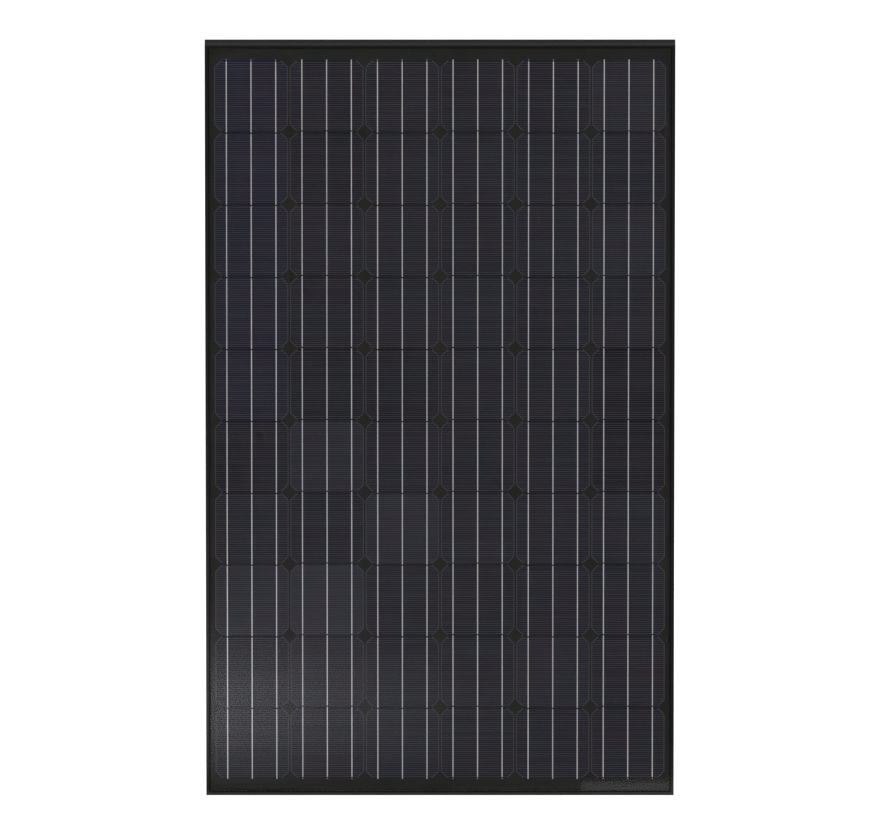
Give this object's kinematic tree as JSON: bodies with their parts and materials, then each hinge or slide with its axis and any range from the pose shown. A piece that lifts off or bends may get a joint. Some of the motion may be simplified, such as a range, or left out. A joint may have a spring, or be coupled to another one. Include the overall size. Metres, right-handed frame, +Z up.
{
  "type": "solar panel",
  "caption": "Framed all-black photovoltaic module with pseudo-square cells behind glass and a rear junction box with a hinged lid.",
  "frame": {"origin": "centre of the underside of the lower frame rail, midway through the frame's depth", "axes": "+Z up along the long side, +X to the right seen from the glass side, +Y towards the rear; the glass faces -Y"},
  "size_m": [0.99, 0.04, 1.65],
  "materials": {
    "black_anodised_aluminium": "black anodised, satin",
    "mill_aluminium": "mill",
    "silicone": "matt black",
    "solar_glass": "tempered, low iron, anti-reflective",
    "encapsulant": "clear",
    "black_encapsulant": "pigmented black",
    "silicon_cell": "dark blue-black nitride coating, printed with fine silver fingers",
    "black_bus_ribbon": "black coated",
    "black_film": "matt black",
    "black_moulding": "fine moulded texture",
    "tinned_copper": "tin plated",
    "diode_moulding": "moulded epoxy",
    "stainless_steel": "ground",
    "label_film": "satin polyester film, left blank"
  },
  "bodies": {
    "panel": {"backsheet": "black_film", "bottom_bus_1": "black_bus_ribbon", "bottom_bus_2": "black_bus_ribbon", "bottom_bus_3": "black_bus_ribbon", "bus_mask_bottom": "black_film", "bus_mask_top": "black_film", "bypass_diode_1": "diode_moulding", "bypass_diode_2": "diode_moulding", "bypass_diode_3": "diode_moulding", "cell_string_1": "silicon_cell", "cell_string_2": "silicon_cell", "cell_string_3": "silicon_cell", "cell_string_4": "silicon_cell", "cell_string_5": "silicon_cell", "cell_string_6": "silicon_cell", "corner_key_bottom_left": "mill_aluminium", "corner_key_bottom_right": "mill_aluminium", "corner_key_top_left": "mill_aluminium", "corner_key_top_right": "mill_aluminium", "edge_seal_bottom": "silicone", "edge_seal_left": "silicone", "edge_seal_right": "silicone", "edge_seal_top": "silicone", "frame_bottom": "black_anodised_aluminium", "frame_left": "black_anodised_aluminium", "frame_right": "black_anodised_aluminium", "frame_top": "black_anodised_aluminium", "front_encapsulant": "encapsulant", "front_glass": "solar_glass", "gland_body_left": "black_moulding", "gland_body_right": "black_moulding", "gland_nut_left": "black_moulding", "gland_nut_right": "black_moulding", "gland_seal_left": "silicone", "gland_seal_right": "silicone", "junction_adhesive": "silicone", "junction_base": "black_moulding", "lead_insulation": "black_film", "lead_out_1": "tinned_copper", "lead_out_2": "tinned_copper", "lead_out_3": "tinned_copper", "lead_out_4": "tinned_copper", "lid_gasket": "silicone", "lid_hinge_pin": "stainless_steel", "rating_label": "label_film", "rear_encapsulant": "black_encapsulant", "terminal_1": "tinned_copper", "terminal_2": "tinned_copper", "terminal_3": "tinned_copper", "terminal_4": "tinned_copper", "top_bus_1": "black_bus_ribbon", "top_bus_2": "black_bus_ribbon", "top_bus_3": "black_bus_ribbon", "top_bus_4": "black_bus_ribbon"},
    "junction_lid": {"junction_lid": "black_moulding"}
  },
  "joints": [
    {"name": "lid_hinge", "type": "hinge", "parent": "panel", "child": "junction_lid", "pos_m": [0, 0.00885, 1.592], "axis": [1, 0, 0], "range_deg": [0, 110]}
  ]
}
